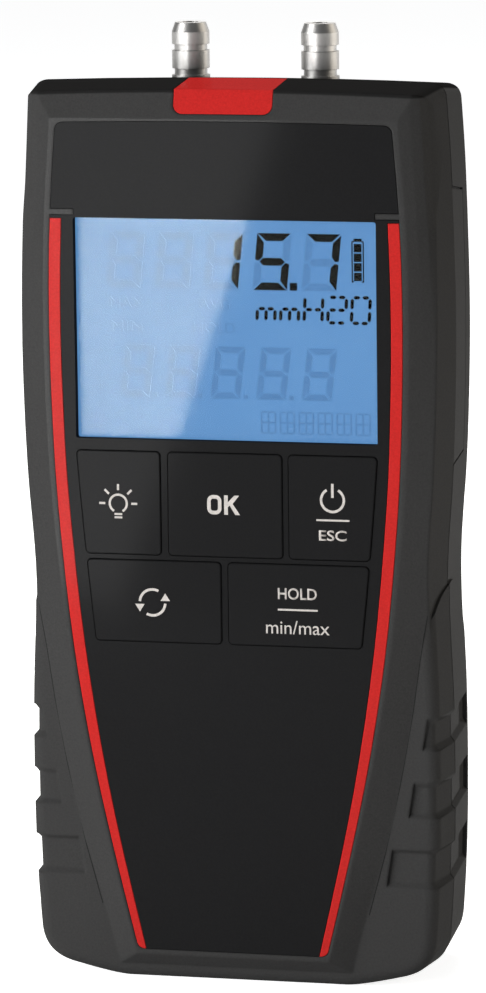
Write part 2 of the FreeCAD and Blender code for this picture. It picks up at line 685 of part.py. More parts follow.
# Batteries
tray = box(-23.2, 23.2, 19.85, 32.7, 11.8, 62.9)
tray = tray.cut(box(-WELL_HALF, WELL_HALF, 21.35, 34, WELL_LOW, WELL_HIGH))
tray = tray.cut(both(box(9.2, 14.8, 31.8, 34, 11, 13.3)))
save("battery_tray", tray)
springs, tabs = [], []
for i in range(4):
    x = (i - 1.5) * CELL_PITCH
    up = i % 2 == 0
    if up:
        cell = rod_z(CELL_R, x, CELL_D, 16.6, 60.1).fuse(
            rod_z(1.9, x, CELL_D, 60.1, 61.1))
        coil_z = 13.6
    else:
        cell = rod_z(CELL_R, x, CELL_D, 14.6, 58.1).fuse(
            rod_z(1.9, x, CELL_D, 13.6, 14.6))
        coil_z = 58.1
    save("cell_%d" % (i + 1), cell)
    base, tip = (coil_z, coil_z + 3.0) if up else (coil_z + 3.0, coil_z)
    inner_tip = tip - 0.35 if up else tip + 0.35
    springs.append(side_prism([(CELL_D - 3.6, base), (CELL_D - 0.5, tip),
                               (CELL_D + 0.5, tip), (CELL_D + 3.6, base),
                               (CELL_D + 3.1, base), (CELL_D + 0.2, inner_tip),
                               (CELL_D - 0.2, inner_tip), (CELL_D - 3.1, base)],
                              x - 2.5, x + 2.5))
    for z in (WELL_LOW, WELL_HIGH - 0.4):
        tabs.append(box(x - 4.2, x + 4.2, 22.4, 30.8, z, z + 0.4))
save("battery_springs", springs)
save("battery_contacts", tabs)
save("battery_leads", side_prism([(BOARD_BACK, 66.8), (19.4, 66.8), (19.4, 58.6),
                                  (19.85, 58.6), (19.85, 57.8), (18.6, 57.8),
                                  (18.6, 66.0), (BOARD_BACK, 66.0)], -3, 3))
door = block(-DOOR_HALF + 0.15, DOOR_HALF - 0.15, DOOR_D + 0.05, DEPTH,
             DOOR_LOW + 0.15, DOOR_HIGH - 0.15, 1.4)
door = door.fuse(box(-21.7, 21.7, 32.6, DOOR_D + 0.05, 13.3, 61.4))
door = door.fuse(both(box(9.5, 14.5, 32.0, 32.6, 10.6, 14.6)))
for z in (20.0, 22.0, 24.0, 26.0):
    door = door.cut(box(-8, 8, 34.3, 36, z, z + 0.9))
door = door.cut(rod_y(1.05, 0, 67.0, 30, 40)).cut(rod_y(2.25, 0, 67.0, 34.0, 40))
save("battery_door", door.removeSplitter())
save("door_screw", screw_y(0, 67.0, 2.1, (34.0, 34.65), 0.9, 29.0))
save("door_foam", box(-19, 19, CELL_D + CELL_R, 32.6, 30, 46))
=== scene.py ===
# Looks of the hand-held differential pressure gauge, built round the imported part.
import json
import math
import bmesh
import bpy
from mathutils import Matrix, Vector


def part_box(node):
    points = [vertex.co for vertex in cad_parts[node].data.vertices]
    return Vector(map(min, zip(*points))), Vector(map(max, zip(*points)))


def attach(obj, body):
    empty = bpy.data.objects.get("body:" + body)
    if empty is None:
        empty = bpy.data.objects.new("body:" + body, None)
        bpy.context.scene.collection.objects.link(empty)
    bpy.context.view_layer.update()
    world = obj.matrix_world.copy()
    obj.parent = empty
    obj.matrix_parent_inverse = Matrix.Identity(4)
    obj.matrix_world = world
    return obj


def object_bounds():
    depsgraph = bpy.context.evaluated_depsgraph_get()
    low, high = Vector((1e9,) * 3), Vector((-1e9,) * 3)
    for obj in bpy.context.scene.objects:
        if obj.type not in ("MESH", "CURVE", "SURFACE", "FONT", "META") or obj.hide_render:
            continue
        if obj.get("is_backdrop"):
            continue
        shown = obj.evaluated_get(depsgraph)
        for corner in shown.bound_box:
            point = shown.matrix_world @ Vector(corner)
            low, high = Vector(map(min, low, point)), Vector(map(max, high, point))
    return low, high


MM = 0.001
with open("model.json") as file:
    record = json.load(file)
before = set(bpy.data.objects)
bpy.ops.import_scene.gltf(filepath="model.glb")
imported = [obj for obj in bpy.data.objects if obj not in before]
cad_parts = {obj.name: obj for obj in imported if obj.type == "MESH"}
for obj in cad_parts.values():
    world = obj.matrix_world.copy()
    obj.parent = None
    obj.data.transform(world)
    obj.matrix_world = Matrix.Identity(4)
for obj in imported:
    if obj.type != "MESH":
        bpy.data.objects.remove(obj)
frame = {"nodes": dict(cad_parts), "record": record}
nodes = frame["nodes"]
cad_box = [list(v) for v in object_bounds()]

# Front faces of the panel and the keys, and the back of the window, in mm
FACE_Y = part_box("front_panel")[0].y / MM
KEY_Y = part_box("key_ok")[0].y / MM
WINDOW_BACK_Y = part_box("lcd_window")[1].y / MM
# What is printed or shown has its heights given with the panel's foot at PANEL_FOOT
PANEL_FOOT = 5.18
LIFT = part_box("front_panel")[0].z / MM - PANEL_FOOT

# Camera
# Turn, tilt and roll of the photo's camera, in degrees
YAW, PITCH, ROLL = 14.483, 9.097, -0.718
# A point on the panel, and where it lies from the lens: right, down and ahead, in mm
AIM_POINT = Vector((0.0, FACE_Y, 125.9 + LIFT))
AIM = Vector((-3.206, -44.331, 965.793))
FOCAL_PX, FRAME_PX = 6000.0, 993.0
SENSOR_MM = 36.0
NEAREST, FARTHEST = 0.05, 20.0

turn = (Matrix.Rotation(math.radians(ROLL), 3, "Z")
        @ Matrix.Rotation(math.radians(PITCH), 3, "X")
        @ Matrix.Rotation(math.radians(YAW), 3, "Y"))
look = turn @ Matrix(((1, 0, 0), (0, 0, -1), (0, 1, 0)))
right, up, back = look[0], -look[1], -look[2]
pose = Matrix((right, up, back)).transposed().to_4x4()
pose.translation = (AIM_POINT - look.transposed() @ AIM) * MM
camera_data = bpy.data.cameras.new("camera")
camera_data.sensor_width = SENSOR_MM
camera_data.lens = FOCAL_PX * SENSOR_MM / FRAME_PX
camera_data.clip_start, camera_data.clip_end = NEAREST, FARTHEST
camera = bpy.data.objects.new("camera", camera_data)
camera.matrix_world = pose
bpy.context.scene.collection.objects.link(camera)
bpy.context.scene.camera = camera
bpy.context.scene.view_settings.view_transform = "Standard"


# Materials
class Sock:
    """A shader value; arithmetic on it adds Math nodes."""

    def __init__(self, finish, socket):
        self.finish, self.socket = finish, socket

    def math(self, how, *others):
        sockets = dict(enumerate((self, *others)))
        return self.finish.add("ShaderNodeMath", {"operation": how}, sockets)

    def __add__(self, other):
        return self.math("ADD", other)

    def __mul__(self, other):
        return self.math("MULTIPLY", other)

    def __sub__(self, other):
        return self.math("SUBTRACT", other)

    def __rsub__(self, other):
        return self.finish.add("ShaderNodeMath", {"operation": "SUBTRACT"},
                               {0: other, 1: self})

    def clamp(self):
        return self.finish.add("ShaderNodeClamp", {}, {0: self})


class Finish:
    """A procedural material, or the world, made node by node."""

    def __init__(self, name, owner=None):
        self.material = owner or bpy.data.materials.new(name)
        self.material.use_nodes = True
        self.tree = self.material.node_tree
        self.tree.nodes.clear()

    def add(self, kind, settings, sockets, out=0):
        """Adds a node; a socket takes a number, a colour or another value."""
        node = self.tree.nodes.new(kind)
        for key, value in settings.items():
            setattr(node, key, value)
        for key, value in sockets.items():
            if isinstance(value, Sock):
                self.tree.links.new(value.socket, node.inputs[key])
            else:
                node.inputs[key].default_value = value
        return Sock(self, node.outputs[out]) if node.outputs else None

    def place(self):
        return self.add("ShaderNodeTexCoord", {}, {}, "Object")

    def noise(self, scale, detail=2.0, rough=0.5, where=None):
        return self.add("ShaderNodeTexNoise", {},
                        {"Vector": where or self.place(), "Scale": scale,
                         "Detail": detail, "Roughness": rough})

    def ramp(self, value, *stops):
        """Colour that follows a value through two stops."""
        made = self.add("ShaderNodeValToRGB", {}, {0: value})
        elements = made.socket.node.color_ramp.elements
        for element, (at, colour) in zip(elements, stops):
            element.position = at
            element.color = opaque(colour)
        return made

    def mix(self, share, start, end):
        return self.add("ShaderNodeMix", {"data_type": "RGBA"},
                        {0: share, 6: start, 7: end}, 2)

    def bump(self, height, strength, distance, normal):
        return self.add("ShaderNodeBump", {},
                        {"Height": height, "Strength": strength,
                         "Distance": distance, "Normal": normal})

    def soft_edge(self, radius):
        return self.add("ShaderNodeBevel", {"samples": 6}, {"Radius": radius})

    def surface(self, **sockets):
        named = {key.replace("_", " "): value for key, value in sockets.items()}
        self.end(self.add("ShaderNodeBsdfPrincipled", {}, named))

    def end(self, shader, kind="Material"):
        self.add("ShaderNodeOutput" + kind, {}, {"Surface": shader})

    def ray(self, kind):
        return self.add("ShaderNodeLightPath", {}, {}, "Is " + kind + " Ray")


def opaque(colour):
    return (*colour, 1)


def shade(colour, share):
    return tuple(part * share for part in colour)


BLACK, WHITE = (0, 0, 0, 1), (1, 1, 1, 1)
# How far two noises move a roughness; SHEEN_MIDDLE is their middle
PIT_SHEEN, CLOUD_SHEEN, SHEEN_MIDDLE = 0.16, 0.08, 0.12
PIT_DEPTH, COAT_ROUGH = 0.00012, 0.08
# The top end has painted shade: its colour is darkened, and it has no coat sheen. TOP_RIDGE is
# how far its ridge lies in front of the middle, in metres; the slope and the crown say how it
# falls away from there
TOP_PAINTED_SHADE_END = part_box("front_shell")[1].z - 0.0004
TOP_RIDGE, TOP_SLOPE, TOP_CROWN = 0.0063, 0.1, 0.62
# Share that the top end's colour is darkened to as painted shade, and how sharply that sets in
TOP_PAINTED_SHADE, TOP_SHARPNESS = 0.4, 4000.0


def moulded(name, colour, rough, edge, grain, shine, pit_scale=3200.0, coat=0.0, top=None):
    """Spark-eroded plastic: fine pits, slightly uneven sheen and tint.

    Above top, a height in metres that follows the slope and the crown of the
    top end, the plastic has painted shade, a darker colour, and no coat sheen."""
    f = Finish(name)
    pits = f.noise(pit_scale, 2.0, 0.6)
    cloud = f.noise(60.0, 3.0)
    speck = f.noise(2800.0, 2.0, 0.7)
    tint = f.ramp(speck, (0.3, shade(colour, 0.9)), (0.7, shade(colour, 1.1)))
    if top is not None:
        across, deep, height = (f.add("ShaderNodeSeparateXYZ", {}, {0: f.place()}, axis)
                                for axis in "XYZ")
        from_ridge = (deep + TOP_RIDGE).math("ABSOLUTE")
        height = height + from_ridge * TOP_SLOPE + across * across * TOP_CROWN
        # Painted shade: this mask is 1 below the top end and 0 on it, where the colour is
        # darkened and the coat is taken off
        below_painted_top_shade = ((top - height) * TOP_SHARPNESS).clamp()
        tint = f.mix(below_painted_top_shade, opaque(shade(colour, TOP_PAINTED_SHADE)), tint)
        coat = below_painted_top_shade * coat
    sheen = pits * PIT_SHEEN + cloud * CLOUD_SHEEN + (rough - SHEEN_MIDDLE)
    f.surface(Base_Color=tint, Roughness=sheen.clamp(), Specular_IOR_Level=shine,
              Coat_Weight=coat, Coat_Roughness=COAT_ROUGH,
              Normal=f.bump(pits + speck * 0.6, grain, PIT_DEPTH, f.soft_edge(edge)))
    return f.material


# Share of light that each face of the cover turns back: seen straight on, and how
# much more at a slant, with the power that it grows by
GLASS_SHARE, GLASS_SLANT, GLASS_POWER = 0.0058, 0.4, 5.0


def clear_window():
    """Thin clear cover: mostly see-through, with the gloss of its front."""
    f = Finish("clear_window")
    gloss = f.add("ShaderNodeBsdfGlossy", {}, {"Color": (1, 1, 0.85, 1), "Roughness": 0.04})
    clear = f.add("ShaderNodeBsdfTransparent", {}, {"Color": (0.96, 0.97, 0.98, 1)})
    slant = f.add("ShaderNodeLayerWeight", {}, {"Blend": 0.5}, "Facing")
    share = slant.math("POWER", GLASS_POWER) * GLASS_SLANT + GLASS_SHARE
    f.end(f.add("ShaderNodeMixShader", {}, {0: share, 1: clear, 2: gloss}))
    return f.material


# The display shines by itself, so its base colours are darkened by DARKENED
DARKENED, FIELD_GLOW = 0.75, 1.35


def display_glass():
    """Backlit display field: pale blue with a faint grain."""
    f = Finish("display_glass")
    grain = f.noise(1500.0, 1.0, 0.5)
    cloud = f.noise(55.0, 2.0)
    blue = f.ramp(grain * 0.4 + cloud * 0.6, (0.3, (0.068, 0.172, 0.352)),
                  (0.7, (0.088, 0.206, 0.392)))
    f.surface(Base_Color=f.mix(DARKENED, blue, BLACK), Roughness=0.6,
              Specular_IOR_Level=0.0, Emission_Color=blue, Emission_Strength=FIELD_GLOW)
    return f.material


def segment_ink(name, colour, glow):
    """Dark or faint figures of the display."""
    f = Finish(name)
    tint = f.ramp(f.noise(900.0), (0.2, shade(colour, 0.85)), (0.8, colour))
    f.surface(Base_Color=f.mix(DARKENED, tint, BLACK), Roughness=0.6,
              Specular_IOR_Level=0.0, Emission_Color=tint, Emission_Strength=glow)
    return f.material


def legend_ink():
    """Slightly worn pale print."""
    f = Finish("legend_ink")
    speck = f.noise(2200.0, 2.0, 0.7)
    tint = f.ramp(speck, (0.3, (0.45, 0.42, 0.39)), (0.7, (0.60, 0.555, 0.52)))
    f.surface(Base_Color=tint, Roughness=0.6)
    return f.material


def turned_metal(name, colour, rough, line_scale):
    """Plated or steel parts with fine turning marks round the upright axis."""
    f = Finish(name)
    where = f.add("ShaderNodeMapping", {},
                  {"Vector": f.place(), "Scale": (30.0, 30.0, line_scale)})
    lines = f.noise(1.0, 3.0, 0.6, where)
    cloud = f.noise(400.0)
    sheen = lines * 0.18 + cloud * 0.06 + (rough - SHEEN_MIDDLE)
    f.surface(Base_Color=f.mix(cloud, opaque(shade(colour, 0.85)), opaque(colour)),
              Metallic=1.0, Roughness=sheen.clamp(),
              Normal=f.bump(lines, 0.25, 0.00004, f.soft_edge(0.0001)))
    return f.material


def plain(name, colour, rough, grain=400.0):
    """Parts inside, with a faint unevenness."""
    f = Finish(name)
    cloud = f.noise(grain, 3.0)
    tint = f.ramp(cloud, (0.25, shade(colour, 0.85)), (0.75, colour))
    f.surface(Base_Color=tint, Roughness=(cloud * 0.1 + (rough - 0.05)).clamp())
    return f.material


panel_black = dict(colour=(0.012, 0.012, 0.0124), rough=0.8, grain=0.1, shine=0.02,
                   pit_scale=2600.0, coat=0.025)
plastics = {
    "case_plastic": dict(colour=(0.043, 0.0425, 0.042), rough=0.7, edge=0.0008, grain=0.3,
                         shine=0.0, pit_scale=2600.0, coat=0.045, top=TOP_PAINTED_SHADE_END),
    "panel_plastic": dict(edge=0.00015, **panel_black),
    "key_plastic": dict(edge=0.00018, **panel_black),
    "red_plastic": dict(colour=(0.50, 0.022, 0.020), rough=0.85, edge=0.0002, grain=0.02,
                        shine=0.0, pit_scale=2600.0, coat=0.03),
    "black_plastic": dict(colour=(0.02, 0.02, 0.02), rough=0.5, edge=0.0002, grain=0.2,
                          shine=0.3),
    "white_plastic": dict(colour=(0.75, 0.75, 0.72), rough=0.45, edge=0.0002, grain=0.1,
                          shine=0.5),
    "black_rubber": dict(colour=(0.008, 0.008, 0.008), rough=0.8, edge=0.0001, grain=0.2,
                         shine=0.2),
}
metals = {
    "port_metal": dict(colour=(0.50, 0.49, 0.475), rough=0.4, line_scale=3000.0),
    "screw_steel": dict(colour=(0.45, 0.45, 0.46), rough=0.35, line_scale=3000.0),
    "clamp_steel": dict(colour=(0.5, 0.5, 0.5), rough=0.4, line_scale=2000.0),
    "contact_metal": dict(colour=(0.72, 0.62, 0.38), rough=0.35, line_scale=2000.0),
}
inner_parts = {
    "clear_silicone": dict(colour=(0.72, 0.74, 0.72), rough=0.4),
    "board_green": dict(colour=(0.02, 0.14, 0.05), rough=0.35, grain=900.0),
    "cell_jacket": dict(colour=(0.22, 0.24, 0.27), rough=0.3),
    "lead_jacket": dict(colour=(0.45, 0.02, 0.02), rough=0.5),
}
finishes = {"clear_window": clear_window(), "display_glass": display_glass()}
for make, looks in ((moulded, plastics), (turned_metal, metals), (plain, inner_parts)):
    for name, values in looks.items():
        finishes[name] = make(name, **values)
for entry in frame["record"]["subparts"]:
    mesh = nodes[entry["node"]].data
    mesh.materials.clear()
    mesh.materials.append(finishes[entry["material_slot"]])
legend = legend_ink()
dark_segment = segment_ink("dark_segment", (0.006, 0.007, 0.009), 0.0)
faint_segment = segment_ink("faint_segment", (0.067, 0.164, 0.335), FIELD_GLOW)


# Flat pieces
def finish_piece(name, bm, material, body, y_front, thick):
    """Gives flat faces drawn in X-Z their thickness, behind y_front (mm)."""
    bmesh.ops.remove_doubles(bm, verts=bm.verts, dist=1e-5)
    made = bmesh.ops.extrude_face_region(bm, geom=list(bm.faces))
    moved = [v for v in made["geom"] if isinstance(v, bmesh.types.BMVert)]
    bmesh.ops.translate(bm, verts=moved, vec=(0, thick, 0))
    bmesh.ops.recalc_face_normals(bm, faces=bm.faces)
    bmesh.ops.translate(bm, verts=bm.verts, vec=(0, y_front, LIFT))
    bmesh.ops.scale(bm, verts=bm.verts, vec=(MM, MM, MM))
    mesh = bpy.data.meshes.new(name)
    bm.to_mesh(mesh)
    bm.free()
    mesh.materials.append(material)
    piece = bpy.data.objects.new(name, mesh)
    bpy.context.scene.collection.objects.link(piece)
    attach(piece, body)


def facet(bm, points):
    bm.faces.new([bm.verts.new((x, 0, z)) for x, z in points])


def box_shape(bm, x0, x1, z0, z1):
    facet(bm, [(x0, z0), (x1, z0), (x1, z1), (x0, z1)])


def beside(a, b, ahead, aside=0.0):
    """The point ahead of a on the way to b, and aside to the left of that way."""
    length = math.hypot(b[0] - a[0], b[1] - a[1])
    ux, uz = (b[0] - a[0]) / length, (b[1] - a[1]) / length
    return a[0] + ux * ahead - uz * aside, a[1] + uz * ahead + ux * aside


def bar(bm, a, b, width):
    """A stroke from a to b with a point at each end."""
    half = width / 2.0
    facet(bm, [a, beside(a, b, half, half), beside(b, a, half, -half),
               b, beside(b, a, half, half), beside(a, b, half, -half)])


def trace(bm, points, width, closed=False):
    """Ribbon of even width along a run of points; a closed one joins its ends."""
    half = width / 2.0
    last = len(points) - 1
    sides = []
    for i, (x, z) in enumerate(points):
        before, after = max(i - 1, 0), min(i + 1, last)
        if closed:
            before, after = i - 1, (i + 1) % len(points)
        (ax, az), (bx, bz) = points[before], points[after]
        length = math.hypot(bx - ax, bz - az)
        nx, nz = -(bz - az) / length * half, (bx - ax) / length * half
        sides.append((bm.verts.new((x + nx, 0, z + nz)), bm.verts.new((x - nx, 0, z - nz))))
    follow = sides[1:] + sides[:1] if closed else sides[1:]
    for (a, b), (c, d) in zip(sides, follow):
        bm.faces.new((a, b, d, c))


def arc(centre, radius, start, end, steps=16):
    """Points on an arc, angles in degrees from +X towards +Z."""
    angles = [math.radians(start + (end - start) * i / steps) for i in range(steps + 1)]
    return [(centre[0] + radius * math.cos(angle), centre[1] + radius * math.sin(angle))
            for angle in angles]


# Seven-bar digits: the corners as shares of width and height, and each bar's ends.
# The bars e and c start in the middle of the digit's height, and b and f end there.
CORNERS = {"top left": (0, 1), "top right": (1, 1), "mid left": (0, 0.5),
           "mid right": (1, 0.5), "low left": (0, 0), "low right": (1, 0)}
BARS = {"a": ("top left", "top right"), "b": ("top right", "mid right"),
        "c": ("mid right", "low right"), "d": ("low left", "low right"),
        "e": ("mid left", "low left"), "f": ("top left", "mid left"),
        "g": ("mid left", "mid right")}
LIT_BARS = {"1": "bc", "5": "afgcd", "7": "abc"}
BAR_GAP = 0.10              # gap at a bar's end as a share of its thickness


def digit(bm, bars, x, z, width, height, thick, lean):
    """One slanted seven-bar digit; x, z is its lower left corner.

    The outer side of a bar runs on into the corner and its inner side is
    mitred. The middle bar, and the others where they meet it, are pointed."""
    half, gap = thick / 2.0, thick * BAR_GAP
    mitre = half + gap * 2

    def corner(key):
        across, rise = CORNERS[key]
        level = half + rise * (height - thick)
        return x + half + across * (width - thick) + lean * level / height, z + level

    for name in bars:
        start, end = (corner(key) for key in BARS[name])
        if name == "g":
            bar(bm, beside(start, end, gap), beside(end, start, gap), thick)
            continue
        outside = half if name in "abc" else -half
        start_out = half / 2 if name in "ce" else gap - half
        end_out = half / 2 if name in "bf" else gap - half
        points = [beside(start, end, start_out, outside),
                  beside(end, start, end_out, -outside),
                  beside(end, start, mitre, outside),
                  beside(start, end, mitre, -outside)]
        if name in "bf":
            points.insert(2, beside(end, start, gap))
        if name in "ce":
            points.insert(0, beside(start, end, gap))
        facet(bm, points)


# Display
FILM_Y = WINDOW_BACK_Y + 0.06
INK_Y = FILM_Y - 0.03
INK_THICK, FILM_THICK = 0.04, 0.25
FILM_HALF, FILM_LOW, FILM_TOP = 25.85, 89.05, 126.75
bm = bmesh.new()
box_shape(bm, -FILM_HALF, FILM_HALF, FILM_LOW, FILM_TOP)
finish_piece("display_film", bm, finishes["display_glass"], "case",
             FILM_Y, FILM_THICK)

# Digits: the first one's place and the step, then width, height, thickness and lean
ROW_X, ROW_Z, ROW_STEP = -20.47, 114.5, 8.17
ROW_DIGIT = (5.75, 9.25, 1.25, 0.95)
SMALL_X, SMALL_Z, SMALL_STEP = -18.46, 96.6, 7.62
SMALL_DIGIT = (5.0, 8.6, 1.1, 1.1)
PLACES = 5
SHOWN = {2: "1", 3: "5", 4: "7"}
DECIMAL_POINT = (10.28, 11.5, ROW_Z, ROW_Z + 1.25)

# The unit's letters: place, step, width, height, lean, stroke and the gap at its ends
UNIT_X, UNIT_Z, UNIT_STEP = 4.75, 109.4, 3.92
UNIT_WIDE, UNIT_HIGH, UNIT_LEAN = 2.95, 4.15, 0.22
UNIT_STROKE, UNIT_GAP = 0.56, 0.16
# Each is runs of strokes over a grid, two steps across and two up
LETTER_M = [[(0, 0), (0, 1), (1, 1), (2, 1), (2, 0)], [(1, 0), (1, 1)]]
LETTER_H = [[(0, 0), (0, 1), (0, 2)], [(2, 0), (2, 1), (2, 2)], [(0, 1), (1, 1), (2, 1)]]
FIGURE_TWO = [[(0, 2), (1, 2), (2, 2), (2, 1), (1, 1), (0, 1), (0, 0), (1, 0), (2, 0)]]
LETTER_O = [[(0, 0), (0, 1), (0, 2), (1, 2), (2, 2), (2, 1), (2, 0), (1, 0), (0, 0)]]

# Battery sign: its edges, line and lips, the pole, and the charge bars
SIGN_LEFT, SIGN_RIGHT, SIGN_LOW, SIGN_TOP = 20.55, 22.6, 116.0, 122.7
SIGN_LINE, SIGN_LIP = 0.2, 0.4
SIGN_POLE = (20.9, 22.25, 122.6, 123.1)
CHARGE_LEFT, CHARGE_RIGHT, CHARGE_LOW = 20.93, 22.22, 116.25
CHARGE_BARS, CHARGE_HIGH, CHARGE_STEP = 4, 1.35, 1.55


def row_digit(bm, position, bars):
    digit(bm, bars, ROW_X + position * ROW_STEP, ROW_Z, *ROW_DIGIT)


def unit_letter(bm, x, runs):
    """Small letter of the unit, leaning with its height."""
    def spot(across, rise):
        return (x + across * UNIT_WIDE / 2 + rise * UNIT_LEAN / 2,
                UNIT_Z + rise * UNIT_HIGH / 2)

    for run in runs:
        for start, end in zip(run, run[1:]):
            a, b = spot(*start), spot(*end)
            bar(bm, beside(a, b, UNIT_GAP), beside(b, a, UNIT_GAP), UNIT_STROKE)


def battery_sign(bm):
    """Outline with a gap at each end, a pole on top and four charge bars."""
    for x in (SIGN_LEFT, SIGN_RIGHT - SIGN_LINE):
        box_shape(bm, x, x + SIGN_LINE, SIGN_LOW, SIGN_TOP)
    for z in (SIGN_LOW, SIGN_TOP - SIGN_LINE):
        for x in (SIGN_LEFT, SIGN_RIGHT - SIGN_LIP):
            box_shape(bm, x, x + SIGN_LIP, z, z + SIGN_LINE)
    box_shape(bm, *SIGN_POLE)
    for i in range(CHARGE_BARS):
        z = CHARGE_LOW + i * CHARGE_STEP
        box_shape(bm, CHARGE_LEFT, CHARGE_RIGHT, z, z + CHARGE_HIGH)


bm = bmesh.new()
for position, figure in SHOWN.items():
    row_digit(bm, position, LIT_BARS[figure])
box_shape(bm, *DECIMAL_POINT)
for i, runs in enumerate((LETTER_M, LETTER_M, LETTER_H, FIGURE_TWO, LETTER_O)):
    unit_letter(bm, UNIT_X + i * UNIT_STEP, runs)
battery_sign(bm)
finish_piece("display_figures", bm, dark_segment, "case", INK_Y, INK_THICK)

# Faint bars that aren't lit; each small digit but the last has a point after it
POINT_AFTER, POINT_SIZE = 5.6, 0.8
# Faint cells low on the right: place, step, line, and its three lines each way
GRID_X, GRID_STEP, GRID_CELLS, GRID_LINE = 5.2, 3.15, 6, 0.3
GRID_UPRIGHTS, GRID_FOOT, GRID_TOP = (0.0, 1.15, 2.3), 91.2, 94.6
GRID_LEVELS, GRID_SPAN = (91.0, 92.75, 94.5), 0.8
bm = bmesh.new()
for position in range(PLACES):
    lit = LIT_BARS[SHOWN[position]] if position in SHOWN else ""
    row_digit(bm, position, [name for name in BARS if name not in lit])
    x = SMALL_X + position * SMALL_STEP
    digit(bm, BARS, x, SMALL_Z, *SMALL_DIGIT)
    if position < PLACES - 1:
        box_shape(bm, x + POINT_AFTER, x + POINT_AFTER + POINT_SIZE,
                  SMALL_Z, SMALL_Z + POINT_SIZE)
for cell in range(GRID_CELLS):
    x = GRID_X + cell * GRID_STEP
    for upright in GRID_UPRIGHTS:
        box_shape(bm, x + upright, x + upright + GRID_LINE, GRID_FOOT, GRID_TOP)
    for z in GRID_LEVELS:
        for upright in GRID_UPRIGHTS[:2]:
            start = x + upright + GRID_LINE
            box_shape(bm, start, start + GRID_SPAN, z, z + GRID_LINE)
finish_piece("display_faint_figures", bm, faint_segment, "case",
             INK_Y, INK_THICK)

# Lettering
PRINT_Y = KEY_Y - 0.02
PRINT_THICK = 0.03


def lettering(name, words, centre, size, body, material, y_front, weight=0.0):
    """Printed words, fitted to a width and height in mm."""
    text = bpy.data.curves.new(name, "FONT")
    text.body = words
    text.offset = weight
    text.resolution_u = 6
    made = bpy.data.objects.new(name, text)
    bpy.context.scene.collection.objects.link(made)
    bpy.context.view_layer.update()
    mesh = bpy.data.meshes.new_from_object(made)
    bpy.data.objects.remove(made)
    bm = bmesh.new()
    bm.from_mesh(mesh)
    xs, ys = [v.co.x for v in bm.verts], [v.co.y for v in bm.verts]
    sx, sz = size[0] / (max(xs) - min(xs)), size[1] / (max(ys) - min(ys))
    mx, my = (max(xs) + min(xs)) / 2, (max(ys) + min(ys)) / 2
    for v in bm.verts:
        v.co = Vector((centre[0] + (v.co.x - mx) * sx, 0, centre[1] + (v.co.y - my) * sz))
    finish_piece(name, bm, material, body, y_front, PRINT_THICK)


def print_on_key(name, bm, key):
    finish_piece(name, bm, legend, "button_" + key, PRINT_Y, PRINT_THICK)


for name, words, centre, size, body, weight in (
        ("legend_esc", "ESC", (17.7, 75.1), (4.6, 1.75), "button_power", 0.015),
        ("legend_hold", "HOLD", (11.7, 65.35), (6.5, 1.9), "button_hold", 0.015),
        ("legend_min_max", "min/max", (11.7, 59.8), (10.6, 2.2), "button_hold", 0.0)):
    lettering(name, words, centre, size, body, legend, PRINT_Y, weight)
for words, centre, width in (("MAX", (-17.1, 112.1), 5.6), ("MIN", (-17.1, 108.2), 5.2),
                             ("AVG", (-2.4, 112.1), 5.2), ("HOLD", (-2.4, 108.2), 7.0)):
    lettering("display_faint_" + words.lower(), words, centre, (width, 1.7), "case",
              faint_segment, INK_Y)

# OK, with a squarish O; the K is a stem and one outline for both its arms
OK_X, OK_Z, OK_WIDE, OK_HIGH, OK_ROUND, OK_STROKE = -2.92, 78.34, 1.8, 2.59, 0.7, 0.6
K_STEM = OK_X + OK_WIDE + 0.74
K_EDGE = K_STEM + 0.62
K_FOOT, K_TOP = OK_Z - OK_STROKE / 2, OK_Z + OK_HIGH + OK_STROKE / 2
K_ARMS = [(0.0, OK_Z + 0.95), (0.0, OK_Z + 1.75), (1.12, K_TOP), (1.9, K_TOP),
          (0.8, OK_Z + 1.5), (2.03, K_FOOT), (1.24, K_FOOT), (0.32, OK_Z + 1.22)]
bm = bmesh.new()
ring = []
for i, (across, rise) in enumerate(((1, 1), (0, 1), (0, 0), (1, 0))):
    centre = (OK_X + OK_ROUND + across * (OK_WIDE - 2 * OK_ROUND),
              OK_Z + OK_ROUND + rise * (OK_HIGH - 2 * OK_ROUND))
    ring += arc(centre, OK_ROUND, i * 90, i * 90 + 90, 6)
trace(bm, ring, OK_STROKE, True)
box_shape(bm, K_STEM, K_EDGE, K_FOOT, K_TOP)
facet(bm, [(K_EDGE + x, z) for x, z in K_ARMS])
print_on_key("legend_ok", bm, "ok")

# Painted shade: a dark strip laid in the crease between the grip pads and the bevel, in the
# plane of the pads' face
PAD_FACE_Y = FACE_Y + 2.2
SHADE_LINE_RUN = [(22.6, 12.0), (25.3, 22.0), (28.2, 35.0), (30.2, 46.0), (31.5, 55.0), (32.7, 62.0)]
SHADE_LINE_WIDE, SHADE_LINE_THICK = 0.14, 0.02
for side, sign in (("left", -1), ("right", 1)):
    bm = bmesh.new()
    trace(bm, [(sign * x, z) for x, z in SHADE_LINE_RUN], SHADE_LINE_WIDE)
    # The black strip is painted shade standing for the crease's shadow; the casing on both
    # sides of it is one plastic
    finish_piece("pad_crease_painted_shade_" + side, bm, finishes["black_rubber"], "case",
                 PAD_FACE_Y - SHADE_LINE_THICK, SHADE_LINE_THICK)

# Power sign over a bar, and the bar between the two words of the hold key
SIGN_STROKE, BAR_STROKE = 0.42, 0.3
POWER, POWER_RADIUS = (17.7, 80.9), 1.9
bm = bmesh.new()
trace(bm, arc(POWER, POWER_RADIUS, 60, -240, 24), SIGN_STROKE)
trace(bm, [(POWER[0], POWER[1] + 0.4), (POWER[0], POWER[1] + 2.7)], SIGN_STROKE)
trace(bm, [(15.0, 77.6), (20.5, 77.6)], BAR_STROKE)
print_on_key("legend_power", bm, "power")
bm = bmesh.new()
trace(bm, [(8.4, 62.7), (15.05, 62.7)], BAR_STROKE)
print_on_key("legend_hold_bar", bm, "hold")

